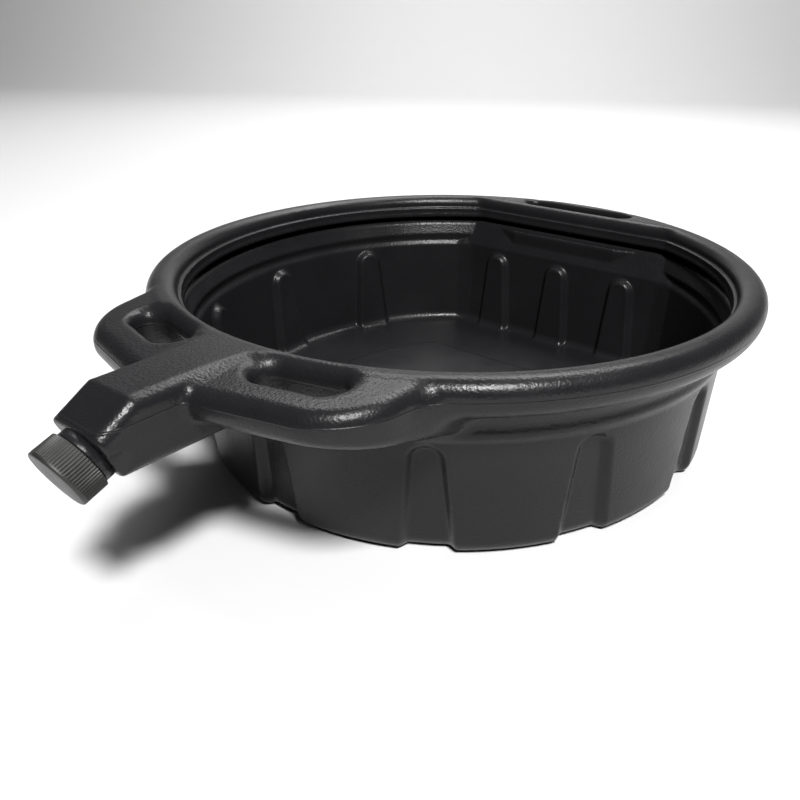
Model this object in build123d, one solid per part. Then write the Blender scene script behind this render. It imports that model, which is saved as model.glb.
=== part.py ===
from build123d import *
import math
import os

# An oil drain pan: a hollow blow-moulded pan with a rolled anti-splash rim, two front hand-hold lugs,
# a rear hand-hold and a pour spout closed by a screw cap. Millimetres. The origin is the centre of
# the basin's base, +Z is up, the spout points along -Y and the rear hand-hold along +Y.

WALL = 3.0                 # skin thickness of the moulding

# Basin
WALL_FOOT_R = 205.2        # outer radius of the tapered wall at the base plane
WALL_TOP_R = 210.9         # outer radius of the tapered wall at the bead
BASE_FILLET = 8.0
BEAD_FOOT_Z = 86.5         # small bead round the top of the tapered wall
BEAD_Z = 92.0
BEAD_R = 213.4
GROOVE_Z = 96.0            # above the bead the wall leans out to the rim
RIM_Z = 110.2              # underside of the rolled rim
NECK_R = 217.2             # outer radius where the wall meets the rim
FLAT_Y = 177.0             # outer face of the flat rear wall at the bead
FLAT_TAPER = 3.5           # degrees, the same draft as the round wall
FLAT_LEAN_Z = 88.0         # above this the flat wall leans out further
FLAT_LEAN = 0.48

# Rolled rim
RIM_R = 235.0
TOP_Z = 136.7
ROLL_TOP_ROUND = 9.5
ROLL_BOTTOM_ROUND = 16.0
OPENING_R = 211.0          # inner face of the hanging lip
OPENING_Y = 184.0          # the lip is straight across the rear
LIP_BOTTOM_Z = 116.0
LEDGE_Z = 125.4            # small ledge on top of the lip
LEDGE_WIDTH = 3.2

# Front hand-hold lugs, given for the right-hand one; the left one is its mirror image
LUG_EDGE_Y = -279.6        # outer edge where it would cross the spout's centre plane
LUG_TILT = 13.3            # degrees that the outer edge and the slot lean back from the spout
LUG_CORNER_X = 113.5
LUG_ROOT = (122.5, -198.0)
LUG_CORNER_ROUND = 30.0
LUG_ROOT_ROUND = 18.0
LUG_UNDER = ((200.0, 90.0), (300.0, 115.0))   # the underside rises outward: radius and height
LUG_BOTTOM_ROUND = 8.0
SLOT_CENTRE = (59.8, -231.4)
SLOT_LENGTH = 56.0
SLOT_WIDTH = 22.0
SLOT_ROUND = 3.0           # rounding of a slot's upper mouth
SLOT_FOOT_Z = 88.0         # below every slot's lower mouth

# Rear hand-hold
REAR_EDGE_Y = 233.0
REAR_CORNER_X = 63.0
REAR_ROOT = (90.0, 216.0)
REAR_CORNER_ROUND = 20.0
REAR_SLOT_LENGTH = 116.0
REAR_SLOT_Y = 208.5
REAR_SLOT_WIDTH = 21.0
POCKET_HALF_X = 55.0       # finger pocket below the rear hand-hold, where the flat wall stays upright
POCKET_Y = 181.0
POCKET_BOTTOM_Z = 95.0
POCKET_TOP_Z = 106.5

# Flutes pressed into the wall
FLUTE_ANGLES = (0.0, 30.0, 58.5, 87.5, 116.5)   # degrees from the spout, to both sides
FLAT_FLUTE_X = (-71.0, 0.0, 71.0)
FLUTE_FOOT_WIDTH = 33.0
FLUTE_TOP_WIDTH = 21.0
FLUTE_TOP_Z = 82.0
FLUTE_DEPTH = 5.5

# Pour spout
SPOUT_HALF_X = 22.0
SPOUT_BOTTOM_Z = 95.0
SPOUT_BEND_Y = -299.0
SPOUT_END_Y = -314.5       # where the neck's axis meets the end face
SPOUT_END_Z = 108.0
NECK_TILT = 21.0           # degrees that the neck points below level
END_UP = 16.5              # end face above the neck's axis
END_DOWN = 12.0            # end face below the neck's axis
SPOUT_ROUND = 8.0
SPOUT_ROOT_Y = -200.0
CHEEK_Y = -306.5           # low down the spout's sides turn in towards the neck
CHEEK_Z = 113.4
CHEEK_TURN = 25.0

# Neck, thread and cap, measured along the neck's axis from the spout's end face
BORE_R = 11.0
NECK_ROOT_R = 13.9
COLLAR_R = 15.9
COLLAR_LENGTH = 4.9
NECK_LENGTH = 16.4
THREAD_DEPTH = 1.2
THREAD_PITCH = 4.0
THREAD_TURNS = 1.75
THREAD_START = 7.5
THREAD_ROOT_WIDTH = 2.4
THREAD_CREST_WIDTH = 1.0
THREAD_SINK = 0.3          # how far a thread ridge is sunk into its tube
CAP_OPEN = 5.4
CAP_FACE = 19.6
CAP_R = 17.6
CAP_RIB_DEPTH = 0.55
CAP_RIBS = 66
CAP_EDGE_ROUND = 1.2
CAP_BORE_R = 15.5
CAP_TOP = 1.9
LINER_R = 14.6
LINER_GAP = 0.05

# Radius of the cylinder along which the lugs and the spout are told apart from the rim
SPLIT_R = 216.8
LUG_SPLIT_Z = 88.0
SPLIT_ANGLE = 34.0
SPOUT_SPLIT_X = 24.0
REAR_SPLIT_Y = 192.0
REAR_SPLIT_X = 106.0


def wall_radius(z, inset):
    """Outer radius of the tapered wall at height z, less an inset."""
    return WALL_FOOT_R + (WALL_TOP_R - WALL_FOOT_R) * z / BEAD_Z - inset


def basin_block(inset, floor_z):
    """Solid body of the basin up to the rim: the outer form at inset 0, the cavity at inset WALL."""
    fillet_r = BASE_FILLET - inset if inset < BASE_FILLET - 1 else 1
    foot_r = wall_radius(floor_z, inset)
    points = [
        (foot_r, floor_z),
        (wall_radius(BEAD_FOOT_Z, inset), BEAD_FOOT_Z),
        (BEAD_R - inset, BEAD_Z),
        (wall_radius(GROOVE_Z, inset), GROOVE_Z),
        (NECK_R - inset, RIM_Z),
        (NECK_R - inset, RIM_Z + ROLL_BOTTOM_ROUND),
        (0, RIM_Z + ROLL_BOTTOM_ROUND),
    ]
    outline = Polyline((0, floor_z), *points, close=True)
    face = make_face(Plane.XZ * outline)
    foot = face.vertices().sort_by(Axis.Z)[:2].sort_by(Axis.X)[-1]
    face = fillet(foot, fillet_r)
    return revolve(face, Axis.Z) & flat_side(inset)


def flat_side(inset):
    """Everything in front of the drafted rear wall, as a large block."""
    size = 4 * RIM_R
    draft = math.tan(math.radians(FLAT_TAPER))
    foot_y = FLAT_Y - inset - (BEAD_Z + WALL) * draft
    bend_y = FLAT_Y - inset - (BEAD_Z - FLAT_LEAN_Z) * draft
    top_y = bend_y + (TOP_Z - FLAT_LEAN_Z) * FLAT_LEAN
    outline = Polyline(
        (-size, -WALL), (foot_y, -WALL), (bend_y, FLAT_LEAN_Z), (top_y, TOP_Z), (-size, TOP_Z), close=True)
    return extrude(make_face(Plane.YZ * outline), size, both=True)


def flute_outline(grow):
    """Front view of one flute: wide at the foot, with a round top."""
    half_foot = FLUTE_FOOT_WIDTH / 2 + grow
    half_top = FLUTE_TOP_WIDTH / 2 + grow
    shoulder_z = FLUTE_TOP_Z - FLUTE_TOP_WIDTH / 2
    sides = Polyline((-half_top, shoulder_z), (-half_foot, -WALL), (half_foot, -WALL), (half_top, shoulder_z))
    crown = ThreePointArc((half_top, shoulder_z), (0, shoulder_z + half_top), (-half_top, shoulder_z))
    return make_face(Wire([*sides.edges(), crown]))


def flutes(grow, inset):
    """All flutes as cutters that reach in to the wall less the inset."""
    core_r = wall_radius(0, inset)
    core_top_r = wall_radius(BEAD_Z, inset)
    core = revolve(
        make_face(Plane.XZ * Polyline((0, -WALL), (core_r, -WALL), (core_top_r, BEAD_Z), (0, BEAD_Z), close=True)),
        Axis.Z,
    )
    core = core & flat_side(inset)
    outline = flute_outline(grow)
    cutters = []
    for angle in FLUTE_ANGLES:
        for side in (-1, 1):
            if angle == 0 and side < 0:
                continue
            turn = Rot(0, 0, side * angle)
            front = Plane((0, -WALL_FOOT_R + 30, 0), x_dir=(1, 0, 0), z_dir=(0, -1, 0))
            cutters.append(turn * extrude(front * outline, 60))
    for x in FLAT_FLUTE_X:
        back = Plane((x, FLAT_Y - 30, 0), x_dir=(-1, 0, 0), z_dir=(0, 1, 0))
        cutters.append(extrude(back * outline, 60))
    return Part() + cutters - core


def lug_point(x):
    """Point on the right-hand lug's outer edge at x."""
    return (x, LUG_EDGE_Y + x * math.tan(math.radians(LUG_TILT)))


def lug_plan():
    """Plan outline of the right-hand lug, run in under the rim."""
    outline = Polyline((0, LUG_EDGE_Y), lug_point(LUG_CORNER_X), LUG_ROOT, (LUG_ROOT[0], -100), (0, -100), close=True)
    lug = make_face(outline)
    corner = lug.vertices().sort_by(Axis.X)[-3:].sort_by(Axis.Y)[0]
    return fillet(corner, LUG_CORNER_ROUND)


def rim_plan():
    """Plan outline of the rim with its lugs and the rear hand-hold."""
    lug = lug_plan()
    rear = make_face(Polyline((-REAR_CORNER_X, REAR_EDGE_Y), (REAR_CORNER_X, REAR_EDGE_Y), REAR_ROOT,
                              (REAR_ROOT[0], 100), (-REAR_ROOT[0], 100), (-REAR_ROOT[0], REAR_ROOT[1]),
                              close=True))
    rear = fillet(rear.vertices().sort_by(Axis.Y)[-2:], REAR_CORNER_ROUND)
    plan = Circle(RIM_R) + lug + mirror(lug, Plane.YZ) + rear
    roots = [v for v in plan.vertices() if v.Y < 0 and abs(math.hypot(v.X, v.Y) - RIM_R) < 0.01]
    return fillet(roots, LUG_ROOT_ROUND)


def rim_block(inset):
    """The rolled rim, lugs and rear hand-hold as one solid slab with a rounded edge all round."""
    plan = rim_plan()
    if inset:
        plan = offset(plan, -inset)
    slab = extrude(Pos(0, 0, RIM_Z + inset) * plan, TOP_Z - RIM_Z - 2 * inset)
    top = slab.edges().group_by(Axis.Z)[-1]
    slab = fillet(top, ROLL_TOP_ROUND - inset)
    bottom = slab.edges().group_by(Axis.Z)[0]
    return fillet(bottom, ROLL_BOTTOM_ROUND - inset)


def lug_block(inset):
    """Right-hand lug with its underside rising outward from the wall."""
    plan = lug_plan()
    if inset:
        plan = offset(plan, -inset)
    foot_z = LUG_UNDER[0][1]
    slab = extrude(Pos(0, 0, foot_z) * plan, TOP_Z - inset - foot_z)
    under = [(r, z + inset) for r, z in LUG_UNDER]
    outline = Polyline((0, under[0][1]), *under, (under[-1][0], 0), (0, 0), close=True)
    slab = slab - revolve(make_face(Plane.XZ * outline), Axis.Z)
    slab = fillet(slab.edges().group_by(Axis.Z)[-1], ROLL_TOP_ROUND - inset)
    rising = []
    for edge in slab.edges():
        spot = edge.center()
        if spot.Z < RIM_Z + inset and spot.Y < LUG_ROOT[1] - inset and spot.X > SPOUT_HALF_X:
            rising.append(edge)
    return fillet(rising, LUG_BOTTOM_ROUND - inset)


def opening_plan(grow):
    """Plan outline of the pan's mouth: a circle cut straight at the rear."""
    window = Pos(0, OPENING_Y + grow - 2 * RIM_R) * Rectangle(4 * RIM_R, 4 * RIM_R)
    return Circle(OPENING_R + grow) & window


def slot_plan(grow):
    """Plan outlines of the three hand slots."""
    right = Pos(*SLOT_CENTRE) * Rot(0, 0, LUG_TILT) * SlotOverall(SLOT_LENGTH + 2 * grow, SLOT_WIDTH + 2 * grow)
    rear_slot = Pos(0, REAR_SLOT_Y) * RectangleRounded(
        REAR_SLOT_LENGTH + 2 * grow, REAR_SLOT_WIDTH + 2 * grow, REAR_SLOT_WIDTH / 2 + grow - 0.5)
    return [right, mirror(right, Plane.YZ), rear_slot]


def spout_block(inset):
    """The spout's box channel: level, then bent down to the end face, rounded along its edges."""
    tilt = math.radians(NECK_TILT)
    up_reach = END_UP - inset
    down_reach = END_DOWN - inset
    end_y = SPOUT_END_Y + inset * math.cos(tilt)
    end_z = SPOUT_END_Z + inset * math.sin(tilt)
    end_top = (end_y - up_reach * math.sin(tilt), end_z + up_reach * math.cos(tilt))
    end_foot = (end_y + down_reach * math.sin(tilt), end_z - down_reach * math.cos(tilt))
    side = Polyline(
        (SPOUT_ROOT_Y, TOP_Z - inset),
        (SPOUT_BEND_Y + inset / 4, TOP_Z - inset),
        end_top,
        end_foot,
        (SPOUT_ROOT_Y, SPOUT_BOTTOM_Z + inset),
        close=True,
    )
    block = extrude(make_face(Plane.YZ * side), SPOUT_HALF_X - inset, both=True)
    long_edges = [e for e in block.edges() if abs(abs(e.center().X) - SPOUT_HALF_X + inset) < 0.01
                  and e.center().Y < SPOUT_ROOT_Y - 1]
    block = fillet(long_edges, SPOUT_ROUND - inset)
    cheek = cheek_block(inset)
    return block - cheek - mirror(cheek, Plane.YZ)


def cheek_block(inset):
    """Wedge cut off the spout's right-hand side, low down beside the neck."""
    turn = math.tan(math.radians(CHEEK_TURN))
    reach = 4 * SPOUT_ROUND
    near = (SPOUT_HALF_X, CHEEK_Y + inset / turn / 2)
    far = (near[0] - reach * turn - inset, near[1] - reach)
    wedge = make_face(Polyline((near[0] - inset, near[1]), far, (reach, far[1]), (reach, near[1]), close=True))
    return extrude(wedge, CHEEK_Z + inset)


def moulding():
    """The whole skin of the pan, from the floor to the lip, without the threaded neck."""
    outer = basin_block(0, 0) - flutes(0, FLUTE_DEPTH)
    pocket = Pos(0, POCKET_Y, POCKET_BOTTOM_Z) * Box(
        2 * POCKET_HALF_X, 60, POCKET_TOP_Z - POCKET_BOTTOM_Z, align=(Align.CENTER, Align.MIN, Align.MIN))
    outer = outer - pocket
    lug = lug_block(0)
    outer = outer + rim_block(0) + lug + mirror(lug, Plane.YZ) + spout_block(0)

    inner = basin_block(WALL, WALL) - flutes(WALL, FLUTE_DEPTH + WALL)
    pocket_skin = Pos(0, POCKET_Y - WALL, POCKET_BOTTOM_Z - WALL) * Box(
        2 * (POCKET_HALF_X + WALL), 60, POCKET_TOP_Z - POCKET_BOTTOM_Z + 2 * WALL,
        align=(Align.CENTER, Align.MIN, Align.MIN))
    inner = inner + rim_block(WALL) - pocket_skin
    lug_hollow = lug_block(WALL)
    inner = inner + lug_hollow + mirror(lug_hollow, Plane.YZ) + spout_block(WALL)
    lip = extrude(Pos(0, 0, LIP_BOTTOM_Z) * opening_plan(WALL), TOP_Z)
    ledge = extrude(Pos(0, 0, LEDGE_Z - WALL) * opening_plan(LEDGE_WIDTH + WALL), TOP_Z)
    inner = inner - lip - ledge
    for plan in slot_plan(WALL):
        inner = inner - extrude(Pos(0, 0, SLOT_FOOT_Z) * plan, TOP_Z)

    shell = outer - inner
    shell = shell - extrude(Pos(0, 0, LIP_BOTTOM_Z) * opening_plan(0), TOP_Z)
    shell = shell - extrude(Pos(0, 0, LEDGE_Z) * opening_plan(LEDGE_WIDTH), TOP_Z)
    for plan in slot_plan(0):
        shell = shell - extrude(Pos(0, 0, SLOT_FOOT_Z) * plan, TOP_Z)
    return fillet(slot_mouths(shell), SLOT_ROUND)


def slot_mouths(shell):
    """Edges round the upper mouths of the hand slots."""
    edges = []
    for plan in slot_plan(0.1):
        box = plan.bounding_box()
        for edge in shell.edges():
            spot = edge.center()
            level = abs(spot.Z - TOP_Z) < 0.01
            across = box.min.X <= spot.X <= box.max.X
            along = box.min.Y <= spot.Y <= box.max.Y
            if level and across and along:
                edges.append(edge)
    return edges


def above(z):
    """Everything above height z."""
    return Pos(0, 0, z) * Box(4 * RIM_R, 4 * RIM_R, TOP_Z, align=(Align.CENTER, Align.CENTER, Align.MIN))


def outside_split():
    """Everything outside the split cylinder."""
    return Box(4 * RIM_R, 4 * RIM_R, 4 * TOP_Z) - Cylinder(SPLIT_R, 4 * TOP_Z)


def spout_region():
    """Space of the pour spout."""
    box = Box(2 * SPOUT_SPLIT_X, 2 * RIM_R, 2 * TOP_Z, align=(Align.CENTER, Align.MAX, Align.MIN))
    return box & outside_split() & above(SPOUT_BOTTOM_Z - 2 * WALL)


def lug_region():
    """Space of the right-hand lug, beside the spout."""
    reach = 2 * RIM_R
    angle = math.radians(SPLIT_ANGLE)
    wedge = make_face(Polyline(
        (SPOUT_SPLIT_X, -SPOUT_SPLIT_X / math.tan(angle)),
        (SPOUT_SPLIT_X, -reach),
        (reach * math.sin(angle), -reach * math.cos(angle)),
        close=True,
    ))
    return extrude(Pos(0, 0, LUG_SPLIT_Z) * wedge, TOP_Z) & outside_split()


def rear_region():
    """Space of the rear hand-hold."""
    return Pos(0, REAR_SPLIT_Y, RIM_Z) * Box(
        2 * REAR_SPLIT_X, RIM_R, TOP_Z, align=(Align.CENTER, Align.MIN, Align.MIN))


def pan_nodes():
    """The moulding, told apart into its regions, which meet face to face."""
    shell = moulding()
    right = lug_region()
    left = mirror(right, Plane.YZ)
    spout = spout_region()
    rear = rear_region()
    rest = shell - spout - right - left
    upper = rest & above(RIM_Z)
    return {
        "basin": rest - above(RIM_Z),
        "splash_rim": upper - rear,
        "right_handle": shell & right,
        "left_handle": shell & left,
        "rear_handle": upper & rear,
        "pour_spout": (shell & spout) - neck_bore(),
    }


def on_neck(part):
    """Moves a part from the neck's own frame, with +Z outward, to its place on the spout."""
    tilt = math.radians(NECK_TILT)
    seat = Plane((0, SPOUT_END_Y, SPOUT_END_Z), x_dir=(1, 0, 0), z_dir=(0, -math.cos(tilt), -math.sin(tilt)))
    return seat.location * part


def neck_bore():
    """Bore of the neck, run back through the spout's end face."""
    return on_neck(Cylinder(BORE_R, 4 * WALL))


def tube(radius, start, end):
    """Cylinder along the neck's axis."""
    return Pos(0, 0, start) * Cylinder(radius, end - start, align=(Align.CENTER, Align.CENTER, Align.MIN))


def thread(root_r, crest_r):
    """Single-start thread ridge, standing out of the root radius to the crest radius."""
    path = Pos(0, 0, THREAD_START) * Helix(THREAD_PITCH, THREAD_PITCH * THREAD_TURNS, root_r)
    sunk_r = root_r - math.copysign(THREAD_SINK, crest_r - root_r)
    ridge = Polyline(
        (sunk_r, -THREAD_ROOT_WIDTH / 2),
        (crest_r, -THREAD_CREST_WIDTH / 2),
        (crest_r, THREAD_CREST_WIDTH / 2),
        (sunk_r, THREAD_ROOT_WIDTH / 2),
        close=True,
    )
    section = make_face(Plane((0, 0, THREAD_START), x_dir=(1, 0, 0), z_dir=(0, -1, 0)) * ridge)
    return sweep(section, path, is_frenet=True)


def threaded_neck():
    """Collar and threaded tube on the spout's end face."""
    neck = tube(NECK_ROOT_R, 0, NECK_LENGTH) + tube(COLLAR_R, 0, COLLAR_LENGTH)
    neck = chamfer(neck.edges().filter_by(GeomType.CIRCLE).sort_by(Axis.Z)[-1], 0.6)
    neck = neck + thread(NECK_ROOT_R, NECK_ROOT_R + THREAD_DEPTH)
    return on_neck(neck - tube(BORE_R, -WALL, NECK_LENGTH + WALL))


def cap_liner():
    """Sealing disc between the neck's mouth and the top of the cap."""
    return on_neck(tube(LINER_R, NECK_LENGTH + LINER_GAP, CAP_FACE - CAP_TOP - LINER_GAP))


def ribbed_outline():
    """Cross-section of the cap's grip: square-topped ribs all round."""
    valley_r = CAP_R - CAP_RIB_DEPTH
    step = 2 * math.pi / CAP_RIBS
    points = []
    for rib in range(CAP_RIBS):
        for share, radius in ((-0.36, valley_r), (-0.18, CAP_R), (0.18, CAP_R), (0.36, valley_r)):
            angle = (rib + share) * step
            points.append((radius * math.cos(angle), radius * math.sin(angle)))
    return make_face(Polyline(*points, close=True))


def screw_cap():
    """Ribbed cap with a flat closed face and its inside thread."""
    valley_r = CAP_R - CAP_RIB_DEPTH
    body = tube(valley_r + 0.05, CAP_OPEN, CAP_FACE)
    body = fillet(body.edges().filter_by(GeomType.CIRCLE).sort_by(Axis.Z)[-1], CAP_EDGE_ROUND)
    grip = extrude(Pos(0, 0, CAP_OPEN) * ribbed_outline(), CAP_FACE - CAP_OPEN - CAP_EDGE_ROUND - 0.2)
    hollow = tube(CAP_BORE_R, CAP_OPEN - 1, CAP_FACE - CAP_TOP)
    inside_thread = Rot(0, 0, 180) * thread(CAP_BORE_R, CAP_BORE_R - THREAD_DEPTH)
    return on_neck(body + grip - hollow + inside_thread)


if __name__ == "__main__":
    os.makedirs("parts", exist_ok=True)
    nodes = pan_nodes()
    nodes["threaded_neck"] = threaded_neck()
    nodes["cap_liner"] = cap_liner()
    nodes["screw_cap"] = screw_cap()
    for name, solid in nodes.items():
        export_step(solid, os.path.join("parts", name + ".step"))
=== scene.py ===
"""Looks of the oil drain pan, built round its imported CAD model.

The moulding's CAD nodes are drawn as one soft-edged skin, because the real pan is one blow-moulded piece.
The skin is a signed distance field, meshed with OpenVDB; the neck, the cap and its liner are turned about
the neck's axis. Everything is in the CAD model's frame: spout along -Y, up +Z. The object's sizes are in
millimetres, and those of the materials and the studio in metres.
"""

import math

import bmesh
import bpy
import numpy as np
import openvdb
from mathutils import Matrix, Vector


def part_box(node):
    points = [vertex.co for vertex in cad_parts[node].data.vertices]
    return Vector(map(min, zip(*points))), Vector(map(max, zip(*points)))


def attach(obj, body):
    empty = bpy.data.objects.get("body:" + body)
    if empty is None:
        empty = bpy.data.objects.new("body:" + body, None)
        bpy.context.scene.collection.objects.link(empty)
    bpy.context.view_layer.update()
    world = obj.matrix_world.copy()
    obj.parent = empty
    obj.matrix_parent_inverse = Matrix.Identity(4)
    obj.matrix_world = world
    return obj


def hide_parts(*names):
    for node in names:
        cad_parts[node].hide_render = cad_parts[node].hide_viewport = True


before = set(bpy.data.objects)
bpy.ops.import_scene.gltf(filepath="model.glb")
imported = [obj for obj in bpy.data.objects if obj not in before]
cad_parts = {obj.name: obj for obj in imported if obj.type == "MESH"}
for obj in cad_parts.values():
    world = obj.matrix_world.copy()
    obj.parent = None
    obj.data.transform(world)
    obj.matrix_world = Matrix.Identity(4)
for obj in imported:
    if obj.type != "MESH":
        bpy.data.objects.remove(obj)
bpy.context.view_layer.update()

MM = 0.001

# ---- sizes of the moulding -----------------------------------------------------------------------

SKIN = 3.0                     # wall thickness
TOP_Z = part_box("splash_rim")[1][2] / MM
RIM_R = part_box("splash_rim")[1][0] / MM
RIM_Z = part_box("basin")[1][2] / MM             # underside of the rolled rim
INBOARD_Y = 100.0              # lugs, spout and rear hand-hold are cut off this far from the middle

WALL_FOOT_R = 205.2            # outer radius of the tapered wall at the floor
WALL_TOP_R = 210.9             # and at the bead
BEAD_Z = 92.0
BEAD_BELOW = 7.0               # how far the bead reaches below and above its crest
BEAD_ABOVE = 5.5
BEAD_DEPTH = 2.6
SHOULDER_Z = 95.0              # from here up the wall leans out to the rim
SHOULDER_SLOPE = 0.36
BASE_ROUND = 10.5
LID_ROUND = 1.0                # the basin's form is closed at the parting line, inside the rim
FLAT_Y = 177.0                 # outer face of the flat rear wall at the bead
FLAT_TAPER = math.radians(3.5)
FLAT_LEAN_Z = 88.0             # above this the flat wall leans out further
FLAT_LEAN = 0.48
FLAT_CORNER = 8.0              # rounding where the flat rear wall meets the round one
FLAT_CORNER_TOP = 2.0          # where the wall leans it tightens to this,
FLAT_CORNER_RUN = 8.0          # over this height

PART_Z = 124.8                 # the mould's parting line
ROLL_TOP_ROUND = 10.5
ROLL_BOTTOM_ROUND = 15.5

OPENING_R = 211.0              # inner face of the lip
OPENING_Y = 184.0
OPENING_CORNER = 1.5
LEDGE_Z = 125.4
LEDGE_WIDTH = 3.2
ROLL_INSIDE_ROUND = 9.0
LIP_STEP_Z = 119.0             # fine step half way down the lip
LIP_STEP = 0.8
LIP_STEP_RUN = 1.5
LIP_FOOT_Z = 116.0
MOUTH_OVERCUT = 1.0            # how far the mouth's cut reaches past the lip's foot

LUG_EDGE_Y = -279.6            # outer edge where it would cross the spout's centre plane
LUG_TILT = math.radians(13.3)
LUG_CORNER_X = 113.5
LUG_ROOT = (122.5, -198.0)
LUG_CORNER_ROUND = 30.0
LUG_TOP_ROUND = 9.5
LUG_FALL_R = 220.0             # beyond this radius the lug's top falls away
LUG_FALL = 0.10
LUG_BOTTOM_ROUND = 7.0
LUG_UNDER = ((200.0, 90.0), (300.0, 122.5))   # the underside rises outward: radius and height
LUG_BLEND = 2.0                # fillet between lug and rim at the top,
LUG_BLEND_MORE = 10.0          # and how much larger it grows
LUG_BLEND_RUN = 18.0           # over this height
SLOT_CENTRE = (59.8, -231.4)
SLOT_HALF = (28.0, 11.0)
SLOT_MOUTH = 5.0               # rounding of the slots' mouths
SLOT_MOUTH_DEEP = 6.0          # how much larger it is on the pan's side

REAR_EDGE_Y = 233.0
REAR_CORNER_X = 63.0
REAR_ROOT = (90.0, 216.0)
REAR_SLOT_Y = 208.5
REAR_SLOT_HALF = (58.0, 10.5)
POCKET_HALF_X = 55.0
POCKET_Y = 181.0
POCKET_TOP_Z = 106.5
POCKET_END = 0.3               # the pocket's ends run out gently: rise over run
POCKET_ROUND = 2.0

FLUTE_ANGLES = (0, 30, 58.5, 87.5, 116.5)
FLAT_FLUTE_X = (0.0, 71.0)
FLUTE_FOOT = 19.8              # half widths
FLUTE_TOP = 13.7
FLUTE_TOP_Z = 85.2
FLUTE_DEPTH = 5.8
FLUTE_SIDE = 7.0               # width of a flute's sloping side

FLOOR_PANEL_R = 132.0          # shallow D-shaped panel raised in the floor
FLOOR_PANEL_Y = 92.0
FLOOR_PANEL_RISE = 0.8
FLOOR_PANEL_SIDE = 3.0         # width of the panel's sloping side

SPOUT_HALF_X = 22.0
SPOUT_ROOT_Y = -200.0
SPOUT_BOTTOM_Z = 95.0          # the channel's underside at its root
SPOUT_BEND_Y = -299.0
SPOUT_END = (-314.5, 108.0)    # where the neck's axis meets the end face
NECK_TILT = math.radians(21.0)
END_UP = 16.5
END_DOWN = 12.0
SPOUT_ROUND = 8.0
SPOUT_END_ROUND = 1.5
CHEEK_Y = -306.5               # beyond here the spout's sides turn in towards the neck,
CHEEK_Z = 113.4                # below this height
CHEEK_TURN = math.radians(25)
CHEEK_ROUND = 0.6
JOIN_ROUND = 4.0               # fillet where the basin and the spout run into the rim

# ---- sizes of the neck, cap and liner ------------------------------------------------------------
# Heights run along the neck's axis from the spout's end face.

BORE_R = 11.0
NECK_ROOT_R = 13.9
NECK_LENGTH = 16.4
COLLAR_R = 15.9
COLLAR_LENGTH = 4.9
COLLAR_SLOPE = 0.2             # the collar's face is this much higher at the neck
NECK_SEGMENTS = 128

THREAD_DEPTH = 1.2
THREAD_PITCH = 4.0
THREAD_TURNS = 1.75
THREAD_START = 7.5
THREAD_STEPS = 96              # mesh steps in one turn
THREAD_FADE = 2.2              # share of its depth that a thread's end gains in one radian
THREAD_SINK = 0.3              # how far its root is sunk into the wall
THREAD_ROOT_HALF = 1.2         # half widths of the ridge
THREAD_CREST_HALF = 0.5

CAP_OPEN = 5.4                 # the cap's open end
CAP_FACE = 19.6                # and its closed face
CAP_R = 17.6
CAP_BORE_R = 15.5
CAP_TOP = 1.9                  # thickness of the closed end
CAP_SHOULDER = 2.1             # the ribs stop this far below the closed face,
CAP_RIB_FADE = 0.35            # and run out over this height
CAP_EDGE_RING = 0.7            # a ring of mesh points this far above the open end keeps the side straight
CAP_RIBS = 66
CAP_RIB_DEPTH = 0.55
CAP_RIB_FLANK = (0.25, 0.75)   # heights on a cosine wave from 0 to 1 where a rib's flank starts and ends
CAP_RIB_STEPS = 10             # mesh steps in one rib

LINER_R = 14.6
LINER_GAP = 0.05
LINER_SEGMENTS = 96

# ---- meshing -------------------------------------------------------------------------------------

VOXEL = 1.6
GRID_MARGIN = 4.0
GRID_FRONT_Y = -330.0          # just beyond the spout's end
NUDGE = 0.05                   # step of the numeric gradients
GRADIENT_RANGE = (0.5, 4)      # a gradient is clipped to this before the field is divided by it
TRUE_NEAR = 3 * SKIN           # the field is made a true distance this near the outer form
SETTLE_PASSES = 3
SETTLE_REACH = 0.35 * VOXEL    # the furthest that a point moves in one pass
SETTLE_LEAST = 0.2             # the smallest squared gradient that is divided by


# ---- distance field ------------------------------------------------------------------------------

def round_max(a, b, r):
    """Intersection of two solids with a round of radius r along the edge."""
    return np.minimum(np.maximum(a, b), -r) + np.hypot(np.maximum(a + r, 0), np.maximum(b + r, 0))


def round_min(a, b, r):
    """Union of two solids with a fillet of radius r."""
    return np.maximum(np.minimum(a, b), r) - np.hypot(np.maximum(r - a, 0), np.maximum(r - b, 0))


def step(t):
    """Smooth ramp from 0 at t = 0 to 1 at t = 1."""
    t = np.clip(t, 0, 1)
    return t * t * (3 - 2 * t)


def line_side(x, y, a, b):
    """Distance to the line from a to b, positive on its right-hand side."""
    dx, dy = b[0] - a[0], b[1] - a[1]
    return ((x - a[0]) * dy - (y - a[1]) * dx) / math.hypot(dx, dy)


def flute_press(s, z):
    """How deep a flute is pressed at s across and z up: wide at the foot, with a round top."""
    shoulder = FLUTE_TOP_Z - FLUTE_TOP
    half = FLUTE_FOOT + (FLUTE_TOP - FLUTE_FOOT) * np.clip(z, 0, shoulder) / shoulder
    outside = np.where(z > shoulder, np.hypot(s, z - shoulder) - FLUTE_TOP, np.abs(s) - half)
    return FLUTE_DEPTH * step(-outside / FLUTE_SIDE)


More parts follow.
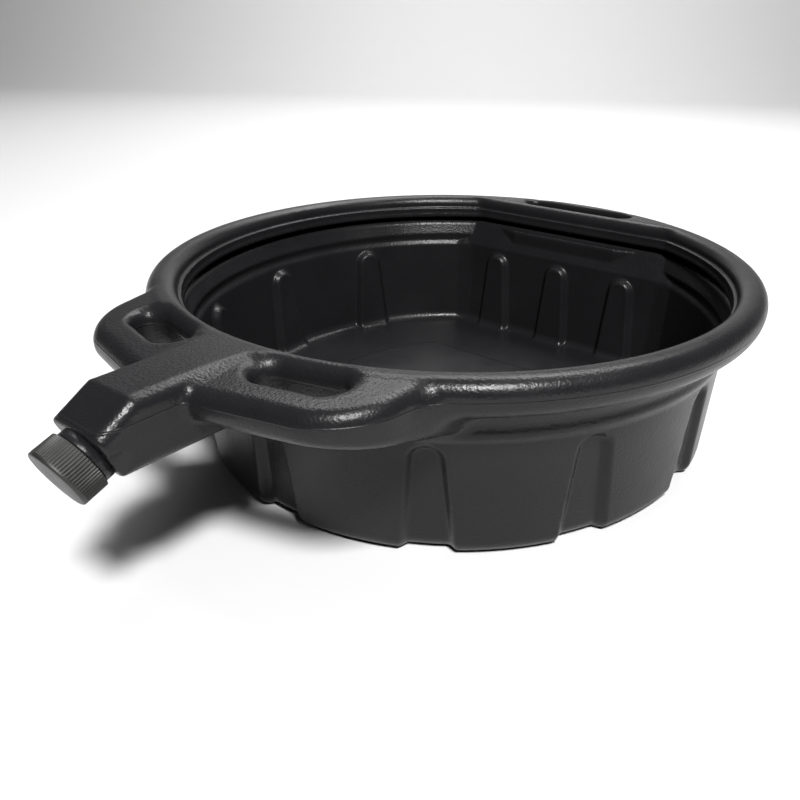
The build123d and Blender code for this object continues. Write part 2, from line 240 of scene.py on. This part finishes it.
def basin(x, y, z):
    """The basin, closed at the top, for x >= 0."""
    r = np.hypot(x, y)
    wall = WALL_FOOT_R + (WALL_TOP_R - WALL_FOOT_R) * z / BEAD_Z
    below = np.clip(1 - ((z - BEAD_Z) / BEAD_BELOW) ** 2, 0, 1) ** 2
    above = np.clip(1 - ((z - BEAD_Z) / BEAD_ABOVE) ** 2, 0, 1)
    bead = np.where(z < BEAD_Z, below, above)
    lean = SHOULDER_SLOPE * np.clip(z - SHOULDER_Z, 0, RIM_Z - SHOULDER_Z)
    angle = np.degrees(np.arctan2(x, -y))
    press = np.zeros_like(r)
    for middle in FLUTE_ANGLES:
        across = np.radians(angle - middle) * WALL_FOOT_R
        press = np.maximum(press, flute_press(across, z))
    round_wall = r - wall - BEAD_DEPTH * bead - lean + press
    press = np.zeros_like(r)
    for middle in FLAT_FLUTE_X:
        press = np.maximum(press, flute_press(x - middle, z))
    flat_wall = (y - FLAT_Y - (z - BEAD_Z) * math.tan(FLAT_TAPER)) * math.cos(FLAT_TAPER) + press
    flat_wall -= FLAT_LEAN * np.clip(z - FLAT_LEAN_Z, 0, PART_Z - FLAT_LEAN_Z)
    tighter = (FLAT_CORNER - FLAT_CORNER_TOP) * step((z - FLAT_LEAN_Z) / FLAT_CORNER_RUN)
    walls = round_max(round_wall, flat_wall, FLAT_CORNER - tighter)
    panel = step(-np.maximum(r - FLOOR_PANEL_R, y - FLOOR_PANEL_Y) / FLOOR_PANEL_SIDE)
    base = FLOOR_PANEL_RISE * panel - z
    return round_max(round_max(walls, base, BASE_ROUND), z - PART_Z, LID_ROUND)


def pocket(x, y, z):
    """Finger pocket behind the rear slot: there the flat wall stays upright, up to the pocket's roof."""
    face = np.maximum(POCKET_Y, POCKET_Y + (x - POCKET_HALF_X) * POCKET_END) - y
    return np.maximum(face, z - POCKET_TOP_Z)


def lug_plan(x, y):
    """Outline of a front lug from above."""
    corner = (LUG_CORNER_X, LUG_EDGE_Y + LUG_CORNER_X * math.tan(LUG_TILT))
    edge = line_side(x, y, (0, LUG_EDGE_Y), corner)
    side = line_side(x, y, corner, LUG_ROOT)
    return round_max(edge, side, LUG_CORNER_ROUND)


def rear_plan(x, y):
    """Outline of the rear hand-hold from above."""
    edge = y - REAR_EDGE_Y
    side = line_side(x, y, (REAR_CORNER_X, REAR_EDGE_Y), REAR_ROOT)
    return np.maximum(round_max(edge, side, REAR_CORNER_X), x - REAR_ROOT[0])


def slab(plan, z):
    """The rolled rim's rounded section over a plan outline."""
    upper = round_max(plan, z - TOP_Z, ROLL_TOP_ROUND)
    lower = round_max(plan, RIM_Z - z, ROLL_BOTTOM_ROUND)
    return np.maximum(upper, lower)


def lug(x, y, z):
    """Front lug: its top falls away outward and its underside rises outward from the wall."""
    (near_r, near_z), (far_r, far_z) = LUG_UNDER
    slope = (far_z - near_z) / (far_r - near_r)
    r = np.hypot(x, y)
    top = z - TOP_Z + LUG_FALL * np.maximum(r - LUG_FALL_R, 0)
    under = (near_z + (r - near_r) * slope - z) * math.cos(math.atan(slope))
    plan = np.maximum(lug_plan(x, y), y + INBOARD_Y)
    return np.maximum(round_max(plan, top, LUG_TOP_ROUND), round_max(plan, under, LUG_BOTTOM_ROUND))


def spout(x, y, z):
    """The spout's channel: level, then bent down to the end face."""
    sin, cos = math.sin(NECK_TILT), math.cos(NECK_TILT)
    end_y, end_z = SPOUT_END
    head = (end_y - END_UP * sin, end_z + END_UP * cos)
    foot = (end_y + END_DOWN * sin, end_z - END_DOWN * cos)
    bend = (SPOUT_BEND_Y, TOP_Z)
    top = np.maximum(z - TOP_Z, line_side(y, z, bend, head))
    under = line_side(y, z, foot, (SPOUT_ROOT_Y, SPOUT_BOTTOM_Z))
    end = -(y - end_y) * cos - (z - end_z) * sin
    sides = x - SPOUT_HALF_X
    body = np.maximum(round_max(sides, top, SPOUT_ROUND), round_max(sides, under, SPOUT_ROUND))
    body = round_max(np.maximum(body, y + INBOARD_Y), end, SPOUT_END_ROUND)
    cheek = (x - SPOUT_HALF_X) * math.cos(CHEEK_TURN) - (y - CHEEK_Y) * math.sin(CHEEK_TURN)
    return round_max(body, -np.maximum(-cheek, z - CHEEK_Z), CHEEK_ROUND)


def front_slot(x, y):
    """Outline of a front slot, and the place across it: -1 at its outer side, 1 at the pan's side."""
    cos, sin = math.cos(LUG_TILT), math.sin(LUG_TILT)
    u = (x - SLOT_CENTRE[0]) * cos + (y - SLOT_CENTRE[1]) * sin
    v = (y - SLOT_CENTRE[1]) * cos - (x - SLOT_CENTRE[0]) * sin
    reach = SLOT_HALF[0] - SLOT_HALF[1]
    return np.hypot(np.maximum(np.abs(u) - reach, 0), v) - SLOT_HALF[1], v / SLOT_HALF[1]


def rear_slot(x, y):
    """Outline of the rear slot."""
    reach = REAR_SLOT_HALF[0] - REAR_SLOT_HALF[1]
    return np.hypot(np.maximum(x - reach, 0), y - REAR_SLOT_Y) - REAR_SLOT_HALF[1]


def opening(x, y, grow):
    """Outline of the pan's mouth, widened by grow."""
    return round_max(np.hypot(x, y) - OPENING_R - grow, y - OPENING_Y - grow, OPENING_CORNER)


def outer_form(x, y, z):
    """The moulding's outer form as a closed body, with its mouth as a recess."""
    plan = np.minimum(np.hypot(x, y) - RIM_R, np.maximum(rear_plan(x, y), INBOARD_Y - y))
    blend = LUG_BLEND + LUG_BLEND_MORE * step((TOP_Z - z) / LUG_BLEND_RUN)
    form = round_min(slab(plan, z), lug(x, y, z), blend)
    pan = round_max(basin(x, y, z), -pocket(x, y, z), POCKET_ROUND)
    form = round_min(form, pan, JOIN_ROUND)
    form = round_min(form, spout(x, y, z), JOIN_ROUND)
    form = np.maximum(form, z - TOP_Z)
    slot, side = front_slot(x, y)
    form = round_max(form, -slot, SLOT_MOUTH + SLOT_MOUTH_DEEP * step(side / 2 + 0.5))
    form = round_max(form, -rear_slot(x, y), SLOT_MOUTH)
    ledge = np.maximum(opening(x, y, LEDGE_WIDTH), LEDGE_Z - z)
    form = round_max(form, -ledge, ROLL_INSIDE_ROUND)
    mouth = opening(x, y, LIP_STEP * step((z - LIP_STEP_Z) / LIP_STEP_RUN))
    recess = np.maximum(mouth, LIP_FOOT_Z + SKIN - z)
    return np.maximum(form, -recess)


def steepness(value, x, y, z):
    """Size of the outer form's gradient, which is 1 where the field is a true distance."""
    across = outer_form(x + NUDGE, y, z) - value
    along = outer_form(x, y + NUDGE, z) - value
    up = outer_form(x, y, z + NUDGE) - value
    return np.clip(np.sqrt(across ** 2 + along ** 2 + up ** 2) / NUDGE, *GRADIENT_RANGE)


def skin(x, y, z):
    """The moulding itself: a skin under the outer form, with the mouth's membrane cut out."""
    x = np.abs(x)
    form = outer_form(x, y, z)
    near = np.abs(form) < TRUE_NEAR
    place = (x[near], y[near], z[near])
    form[near] /= steepness(form[near], *place)
    shell = np.maximum(form, -form - SKIN)
    mouth = np.maximum(opening(x, y, 0), LIP_FOOT_Z - MOUTH_OVERCUT - z)
    shell = np.maximum(shell, -mouth)
    return np.maximum(shell, -neck_bore(x, y, z))


def neck_bore(x, y, z):
    """Bore of the neck, through the spout's end wall only."""
    sin, cos = math.sin(NECK_TILT), math.cos(NECK_TILT)
    along = -(y - SPOUT_END[0]) * cos - (z - SPOUT_END[1]) * sin
    up = -(y - SPOUT_END[0]) * sin + (z - SPOUT_END[1]) * cos
    return np.maximum(np.hypot(x, up) - BORE_R, np.abs(along) - 2 * SKIN)


# ---- mesh of the moulding ------------------------------------------------------------------------

def sample_grid(low, high):
    """OpenVDB grid of the skin's distance field, worked out for x >= 0 and mirrored."""
    xs, ys, zs = (np.arange(math.floor(a / VOXEL), math.ceil(b / VOXEL) + 1) for a, b in zip(low, high))
    half = np.empty((len(xs), len(ys), len(zs)), np.float32)
    y, z = np.meshgrid(ys * VOXEL, zs * VOXEL, indexing="ij")
    for i, column in enumerate(xs):
        half[i] = skin(np.full_like(y, column * VOXEL), y, z)
    field = np.concatenate([half[:0:-1], half])
    grid = openvdb.FloatGrid(2 * VOXEL)
    grid.transform = openvdb.createLinearTransform(voxelSize=VOXEL)
    grid.copyFromArray(field, ijk=(-len(xs) + 1, int(ys[0]), int(zs[0])))
    grid.gridClass = openvdb.GridClass.LEVEL_SET
    return grid


def settle(points):
    """Points of the mesh moved on to the exact surface of the field."""
    for _ in range(SETTLE_PASSES):
        x, y, z = points.T
        value = skin(x, y, z)
        slope = np.stack([
            skin(x + NUDGE, y, z) - skin(x - NUDGE, y, z),
            skin(x, y + NUDGE, z) - skin(x, y - NUDGE, z),
            skin(x, y, z + NUDGE) - skin(x, y, z - NUDGE),
        ], axis=1) / (2 * NUDGE)
        size = np.maximum((slope ** 2).sum(1), SETTLE_LEAST)
        move = slope * (value / size)[:, None]
        length = np.linalg.norm(move, axis=1, keepdims=True)
        points = points - move * np.minimum(1, SETTLE_REACH / np.maximum(length, 1e-9))
    return points


def mesh_object(name, points, faces):
    """New smooth-shaded mesh object; points in millimetres."""
    mesh = bpy.data.meshes.new(name)
    mesh.from_pydata((np.asarray(points) * MM).tolist(), [], [list(map(int, f)) for f in faces])
    mesh.polygons.foreach_set("use_smooth", [True] * len(mesh.polygons))
    mesh.update()
    piece = bpy.data.objects.new(name, mesh)
    bpy.context.scene.collection.objects.link(piece)
    return piece


def moulding():
    """The whole skin of the pan as one mesh."""
    low = (0.0, GRID_FRONT_Y, -GRID_MARGIN)
    high = (RIM_R + GRID_MARGIN, RIM_R + GRID_MARGIN, TOP_Z + GRID_MARGIN)
    points, triangles, quads = sample_grid(low, high).convertToPolygons(isovalue=0.0, adaptivity=0.0)
    points = settle(points.astype(float))
    faces = [f[::-1] for f in quads.tolist()] + [f[::-1] for f in triangles.tolist()]
    return mesh_object("pan_moulding", points, faces)


# ---- neck, cap and liner, turned about the neck's axis -------------------------------------------

def neck_frame():
    """Matrix from the neck's own frame, +Z outward along its axis, to the model's, in millimetres."""
    sin, cos = math.sin(NECK_TILT), math.cos(NECK_TILT)
    turn = Matrix(((1, 0, 0), (0, -sin, -cos), (0, cos, -sin))).to_4x4()
    return Matrix.Translation((0, *SPOUT_END)) @ turn


def turned(name, outline, segments, wave=None):
    """Closed ring turned from an outline of (radius, height) points.

    wave(radius, height, angle) gives the radius where the ring isn't round.
    """
    place = neck_frame()
    points, faces = [], []
    count = len(outline)
    for i in range(segments):
        angle = 2 * math.pi * i / segments
        for radius, height in outline:
            r = wave(radius, height, angle) if wave else radius
            points.append(place @ Vector((r * math.cos(angle), r * math.sin(angle), height)))
    for i in range(segments):
        j = (i + 1) % segments
        for k in range(count):
            m = (k + 1) % count
            faces.append((i * count + k, j * count + k, j * count + m, i * count + m))
    piece = mesh_object(name, points, faces)
    bm = bmesh.new()
    bm.from_mesh(piece.data)
    bmesh.ops.remove_doubles(bm, verts=bm.verts, dist=0.001 * MM)
    bmesh.ops.recalc_face_normals(bm, faces=bm.faces)
    bm.to_mesh(piece.data)
    bm.free()
    return piece


def rounded(corners, steps=4):
    """Closed outline through corners of (radius, height, rounding), as (radius, height) points."""
    points = [Vector(corner[:2]) for corner in corners]
    out = []
    for i, here in enumerate(points):
        rounding = corners[i][2]
        if rounding == 0:
            out.append(corners[i][:2])
            continue
        a = (points[i - 1] - here).normalized()
        b = (points[(i + 1) % len(points)] - here).normalized()
        half = a.angle(b) / 2
        reach = rounding / math.tan(half)
        centre = here + (a + b).normalized() * (rounding / math.sin(half))
        start = here + a * reach - centre
        sweep = (here + b * reach - centre).angle_signed(start)
        for s in range(steps + 1):
            turn = sweep * s / steps
            c, n = math.cos(turn), math.sin(turn)
            out.append((centre.x + start.x * c - start.y * n, centre.y + start.x * n + start.y * c))
    return out


def helix_ridge(name, root_r, crest_r, phase):
    """Thread ridge that tapers away at both ends."""
    place = neck_frame()
    steps = int(THREAD_STEPS * THREAD_TURNS)
    root = root_r + math.copysign(THREAD_SINK, root_r - crest_r)
    points, faces = [], []
    for i in range(steps + 1):
        share = i / steps
        angle = phase + 2 * math.pi * THREAD_TURNS * share
        cos, sin = math.cos(angle), math.sin(angle)
        height = THREAD_START + THREAD_PITCH * THREAD_TURNS * share
        fade = min(1, min(share, 1 - share) * 2 * math.pi * THREAD_TURNS * THREAD_FADE)
        crest = root_r + (crest_r - root_r) * fade
        section = (
            (root, -THREAD_ROOT_HALF), (crest, -THREAD_CREST_HALF),
            (crest, THREAD_CREST_HALF), (root, THREAD_ROOT_HALF),
        )
        for radius, offset in section:
            points.append(place @ Vector((radius * cos, radius * sin, height + offset)))
    for i in range(steps):
        for k in range(4):
            m = (k + 1) % 4
            faces.append((4 * i + k, 4 * i + m, 4 * i + 4 + m, 4 * i + 4 + k))
    faces.append((3, 2, 1, 0))
    faces.append((4 * steps, 4 * steps + 1, 4 * steps + 2, 4 * steps + 3))
    return mesh_object(name, points, faces)


def neck_piece():
    """Neck with the collar at its root."""
    outline = rounded([
        (BORE_R, 0.0, 0),
        (COLLAR_R, 0.0, 0),
        (COLLAR_R, COLLAR_LENGTH, 0.8),
        (NECK_ROOT_R, COLLAR_LENGTH + COLLAR_SLOPE, 0.8),
        (NECK_ROOT_R, NECK_LENGTH, 0.7),
        (BORE_R, NECK_LENGTH, 0.5),
    ])
    return turned("neck", outline, NECK_SEGMENTS)


def cap_piece():
    """Cap whose side is ribbed from its open end up to a plain shoulder."""
    valley = CAP_R - CAP_RIB_DEPTH
    shoulder = CAP_FACE - CAP_SHOULDER
    outline = rounded([
        (CAP_BORE_R, CAP_OPEN, 0.3),
        (CAP_R, CAP_OPEN, 0.35),
        (CAP_R, CAP_OPEN + CAP_EDGE_RING, 0),
        (CAP_R, shoulder - CAP_RIB_FADE, 0),
        (CAP_R, shoulder, 0),
        (CAP_R, CAP_FACE, 1.3),
        (0.0, CAP_FACE, 0),
        (0.0, CAP_FACE - CAP_TOP, 0),
        (CAP_BORE_R, CAP_FACE - CAP_TOP, 0.4),
    ], steps=5)

    def ribs(radius, height, angle):
        if radius < valley or height >= shoulder:
            return radius
        wave = 0.5 + 0.5 * math.cos(CAP_RIBS * angle)
        start, end = CAP_RIB_FLANK
        share = min(1, max(0, (wave - start) / (end - start)))
        return min(radius, valley + CAP_RIB_DEPTH * share)

    return turned("cap", outline, CAP_RIBS * CAP_RIB_STEPS, ribs)


def liner_piece():
    """Foam disc between the neck's end and the cap's closed end."""
    low = NECK_LENGTH + LINER_GAP
    high = CAP_FACE - CAP_TOP - LINER_GAP
    outline = rounded([(0.0, low, 0), (LINER_R, low, 0.3), (LINER_R, high, 0.3), (0.0, high, 0)])
    return turned("liner", outline, LINER_SEGMENTS)


# ---- materials -----------------------------------------------------------------------------------

NOISE_SPAN = (0.3, 0.7)        # where most of a noise texture's values lie

PAN_ROUGHNESS = (0.26, 0.40)
PAN_SPECULAR = 0.25
PAN_BLACK = (0.008, 0.0078, 0.0086)
PAN_SCUFFED = (0.014, 0.0137, 0.015)
FINE_HEIGHT = 0.45             # heights next to the leathery grain's, which is about 1
WAVE_HEIGHT = 0.5
FLASH_HEIGHT = 2.2
FLASH_SPAN = (0.0002, 0.0007)  # the flash falls off between these distances from the parting line

CAP_ROUGHNESS = (0.4, 0.55)
CAP_BLACK = (0.013, 0.013, 0.012)
CAP_SCUFFED = (0.022, 0.022, 0.020)

LINER_ROUGHNESS = 0.85
LINER_PORE = (0.66, 0.66, 0.62)
LINER_FOAM = (0.80, 0.80, 0.77)

PAPER_GREY = 0.74
PAPER_ROUGHNESS = 0.95


def shader(name):
    """New material, with its node tree and its Principled shader."""
    material = bpy.data.materials.new(name)
    material.use_nodes = True
    tree = material.node_tree
    return material, tree, tree.nodes["Principled BSDF"]


def texture(tree, place, kind, **inputs):
    """Texture node over the given coordinates."""
    node = tree.nodes.new(kind)
    for name, number in inputs.items():
        node.inputs[name].default_value = number
    tree.links.new(place, node.inputs["Vector"])
    return node


def math_node(tree, operation, *values):
    """Math node; a number is set on its own input, anything else is linked to it."""
    node = tree.nodes.new("ShaderNodeMath")
    node.operation = operation
    for i, value in enumerate(values):
        if isinstance(value, (int, float)):
            node.inputs[i].default_value = value
        else:
            tree.links.new(value, node.inputs[i])
    return node.outputs[0]


def spread(tree, value, span, result, smooth=False):
    """Value mapped from span to result, each a pair of numbers."""
    node = tree.nodes.new("ShaderNodeMapRange")
    if smooth:
        node.interpolation_type = "SMOOTHSTEP"
    for name, number in zip(("From Min", "From Max", "To Min", "To Max"), (*span, *result)):
        node.inputs[name].default_value = number
    tree.links.new(value, node.inputs["Value"])
    return node.outputs["Result"]


def relief(tree, principled, height, strength, distance):
    """Bump on the shader's normal."""
    bump = tree.nodes.new("ShaderNodeBump")
    bump.inputs["Strength"].default_value = strength
    bump.inputs["Distance"].default_value = distance
    tree.links.new(height, bump.inputs["Height"])
    tree.links.new(bump.outputs[0], principled.inputs["Normal"])


def two_tone(tree, principled, share, first, second):
    """Base colour that runs from first to second as share goes from 0 to 1."""
    mix = tree.nodes.new("ShaderNodeMix")
    mix.data_type = "RGBA"
    mix.inputs["A"].default_value = (*first, 1)
    mix.inputs["B"].default_value = (*second, 1)
    tree.links.new(share, mix.inputs["Factor"])
    tree.links.new(mix.outputs["Result"], principled.inputs["Base Color"])


def pan_plastic():
    """Black blow-moulded polyethylene: satin, with a leathery grain, scuffs and the parting line."""
    material, tree, principled = shader("pan_plastic")
    principled.inputs["Specular IOR Level"].default_value = PAN_SPECULAR
    place = tree.nodes.new("ShaderNodeTexCoord").outputs["Object"]

    grain = texture(tree, place, "ShaderNodeTexVoronoi", Scale=620.0)
    grain.feature = "SMOOTH_F1"
    fine = texture(tree, place, "ShaderNodeTexNoise", Scale=1100.0, Detail=2.0)
    waves = texture(tree, place, "ShaderNodeTexNoise", Scale=38.0, Detail=2.0)
    wear = texture(tree, place, "ShaderNodeTexNoise", Scale=14.0, Detail=5.0, Roughness=0.65)

    split = tree.nodes.new("ShaderNodeSeparateXYZ")
    tree.links.new(place, split.inputs[0])
    off_line = math_node(tree, "ABSOLUTE", math_node(tree, "SUBTRACT", split.outputs["Z"], PART_Z * MM))
    flash = spread(tree, off_line, FLASH_SPAN, (FLASH_HEIGHT, 0.0))

    finer = math_node(tree, "MULTIPLY", fine.outputs[0], FINE_HEIGHT)
    wavy = math_node(tree, "MULTIPLY", waves.outputs[0], WAVE_HEIGHT)
    height = math_node(tree, "ADD", grain.outputs["Distance"], finer)
    height = math_node(tree, "ADD", height, wavy)
    height = math_node(tree, "ADD", height, flash)
    relief(tree, principled, height, strength=0.42, distance=0.0004)

    rough = spread(tree, wear.outputs[0], NOISE_SPAN, PAN_ROUGHNESS)
    tree.links.new(rough, principled.inputs["Roughness"])
    two_tone(tree, principled, wear.outputs[0], PAN_BLACK, PAN_SCUFFED)
    return material


def cap_plastic():
    """Injection-moulded plastic of the cap: a greyer black, finely grained."""
    material, tree, principled = shader("cap_plastic")
    place = tree.nodes.new("ShaderNodeTexCoord").outputs["Object"]
    grain = texture(tree, place, "ShaderNodeTexNoise", Scale=2200.0, Detail=2.0)
    wear = texture(tree, place, "ShaderNodeTexNoise", Scale=60.0, Detail=4.0)
    relief(tree, principled, grain.outputs[0], strength=0.3, distance=0.00015)
    rough = spread(tree, wear.outputs[0], NOISE_SPAN, CAP_ROUGHNESS)
    tree.links.new(rough, principled.inputs["Roughness"])
    two_tone(tree, principled, wear.outputs[0], CAP_BLACK, CAP_SCUFFED)
    return material


def liner_foam():
    """Pale closed-cell foam with small pores."""
    material, tree, principled = shader("liner_foam")
    principled.inputs["Roughness"].default_value = LINER_ROUGHNESS
    place = tree.nodes.new("ShaderNodeTexCoord").outputs["Object"]
    pores = texture(tree, place, "ShaderNodeTexVoronoi", Scale=2500.0)
    relief(tree, principled, pores.outputs[0], strength=0.4, distance=0.0001)
    two_tone(tree, principled, pores.outputs[0], LINER_PORE, LINER_FOAM)
    return material


def floor_paper():
    """Plain pale paper of the floor and backdrop."""
    material, _, principled = shader("floor_paper")
    principled.inputs["Base Color"].default_value = (PAPER_GREY, PAPER_GREY, PAPER_GREY, 1)
    principled.inputs["Roughness"].default_value = PAPER_ROUGHNESS
    return material


# ---- studio --------------------------------------------------------------------------------------

FLOOR_REACH = 4.0              # from the pan to the backdrop, and as far to the front
FLOOR_HALF_WIDTH = 5.0
BACKDROP_TOP_Z = 2.6
BACKDROP_BEND = 0.8            # radius of the sweep from the floor into the backdrop
BEND_STEPS = 8
ACROSS = Vector((0.83, 0.56, 0.0))    # across the reference view, and away from it
AWAY = Vector((-0.56, 0.83, 0.0))

ROOM_DARK = 0.12
ROOM_PALE = 1.1
ROOM_PALE_SIDE = (-0.55, 0.80, 0.25)
ROOM_FADE = (-0.3, 0.7)        # cosines to the pale side between which the room goes from dark to pale

CAMERA_PLACE = (0.31877, -0.45525, 0.29763)
CAMERA_AZIMUTH = math.radians(-56.069)    # the side and the height that the camera looks from
CAMERA_ELEVATION = math.radians(25.773)
CAMERA_ROLL = math.radians(1.324)
SENSOR_WIDTH = 36.0            # and the focal length, in millimetres
FOCAL_LENGTH = 31.87
LENS_SHIFT = (-0.0876, -0.0332)
CLIP_START = 0.02


def floor_and_backdrop():
    """Pale floor that sweeps up into a backdrop behind the pan."""
    bend_start = FLOOR_REACH - BACKDROP_BEND
    profile = [(-FLOOR_REACH, 0.0), (bend_start, 0.0)]
    for i in range(1, BEND_STEPS + 1):
        angle = math.pi / 2 * i / BEND_STEPS
        rise = BACKDROP_BEND - BACKDROP_BEND * math.cos(angle)
        profile.append((bend_start + BACKDROP_BEND * math.sin(angle), rise))
    profile.append((FLOOR_REACH, BACKDROP_TOP_Z))
    points, faces = [], []
    for along, height in profile:
        for side in (-FLOOR_HALF_WIDTH, FLOOR_HALF_WIDTH):
            points.append((AWAY * along + ACROSS * side + Vector((0, 0, height))) / MM)
    for i in range(len(profile) - 1):
        faces.append((2 * i, 2 * i + 1, 2 * i + 3, 2 * i + 2))
    floor = mesh_object("floor", points, faces)
    floor.data.materials.append(floor_paper())


def room_light():
    """Soft room: pale behind the pan, darker on the camera's side."""
    world = bpy.data.worlds.new("studio")
    bpy.context.scene.world = world
    world.use_nodes = True
    tree = world.node_tree
    place = tree.nodes.new("ShaderNodeTexCoord")
    facing = tree.nodes.new("ShaderNodeVectorMath")
    facing.operation = "DOT_PRODUCT"
    facing.inputs[1].default_value = ROOM_PALE_SIDE
    tree.links.new(place.outputs["Generated"], facing.inputs[0])
    glow = spread(tree, facing.outputs["Value"], ROOM_FADE, (ROOM_DARK, ROOM_PALE), smooth=True)
    tree.links.new(glow, tree.nodes["Background"].inputs["Strength"])


def area_light(name, place, aim, size, power):
    """Rectangular lamp at a place, turned to face its aim."""
    light = bpy.data.lights.new(name, "AREA")
    light.shape = "RECTANGLE"
    light.size, light.size_y = size
    light.energy = power
    lamp = bpy.data.objects.new(name, light)
    lamp.location = place
    lamp.rotation_euler = (Vector(aim) - Vector(place)).to_track_quat("-Z", "Y").to_euler()
    bpy.context.scene.collection.objects.link(lamp)


def camera():
    """Camera at the reference view: above the right of the spout, looking down across the pan."""
    data = bpy.data.cameras.new("camera")
    data.sensor_width = SENSOR_WIDTH
    data.lens = FOCAL_LENGTH
    data.shift_x, data.shift_y = LENS_SHIFT
    data.clip_start = CLIP_START
    eye = bpy.data.objects.new("camera", data)
    heading = Matrix.Rotation(CAMERA_AZIMUTH + math.pi / 2, 4, "Z")
    pitch = Matrix.Rotation(math.pi / 2 - CAMERA_ELEVATION, 4, "X")
    roll = Matrix.Rotation(CAMERA_ROLL, 4, "Z")
    eye.matrix_world = Matrix.Translation(CAMERA_PLACE) @ heading @ pitch @ roll
    bpy.context.scene.collection.objects.link(eye)
    bpy.context.scene.camera = eye


# ---- assembly ------------------------------------------------------------------------------------

bpy.context.scene.view_settings.view_transform = "Standard"
camera()
floor_and_backdrop()
room_light()
area_light("key", place=(0.95, -0.85, 1.75), aim=(0, 0, 0.1), size=(0.34, 0.34), power=64)
area_light("strip", place=(0.0, 0.9, 1.9), aim=(0, 0, 0.1), size=(0.9, 0.25), power=9)
area_light("sweep", place=(-0.8, 1.6, 2.4), aim=(-0.8, 2.0, 0.0), size=(3.0, 1.6), power=90)

plastic = pan_plastic()
pan = moulding()
pan.data.materials.append(plastic)
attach(pan, "pan")
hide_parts("basin", "splash_rim", "left_handle", "right_handle", "rear_handle", "pour_spout")

neck = neck_piece()
neck.data.materials.append(plastic)
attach(neck, "pan")
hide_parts("threaded_neck")
thread_out = helix_ridge("neck_thread", NECK_ROOT_R, NECK_ROOT_R + THREAD_DEPTH, 0.0)
thread_out.data.materials.append(plastic)
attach(thread_out, "pan")

cap_stuff = cap_plastic()
cap = cap_piece()
cap.data.materials.append(cap_stuff)
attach(cap, "cap")
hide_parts("screw_cap")
thread_in = helix_ridge("cap_thread", CAP_BORE_R, CAP_BORE_R - THREAD_DEPTH, math.pi)
thread_in.data.materials.append(cap_stuff)
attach(thread_in, "cap")

liner = liner_piece()
liner.data.materials.append(liner_foam())
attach(liner, "liner")
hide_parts("cap_liner")

bpy.context.view_layer.update()
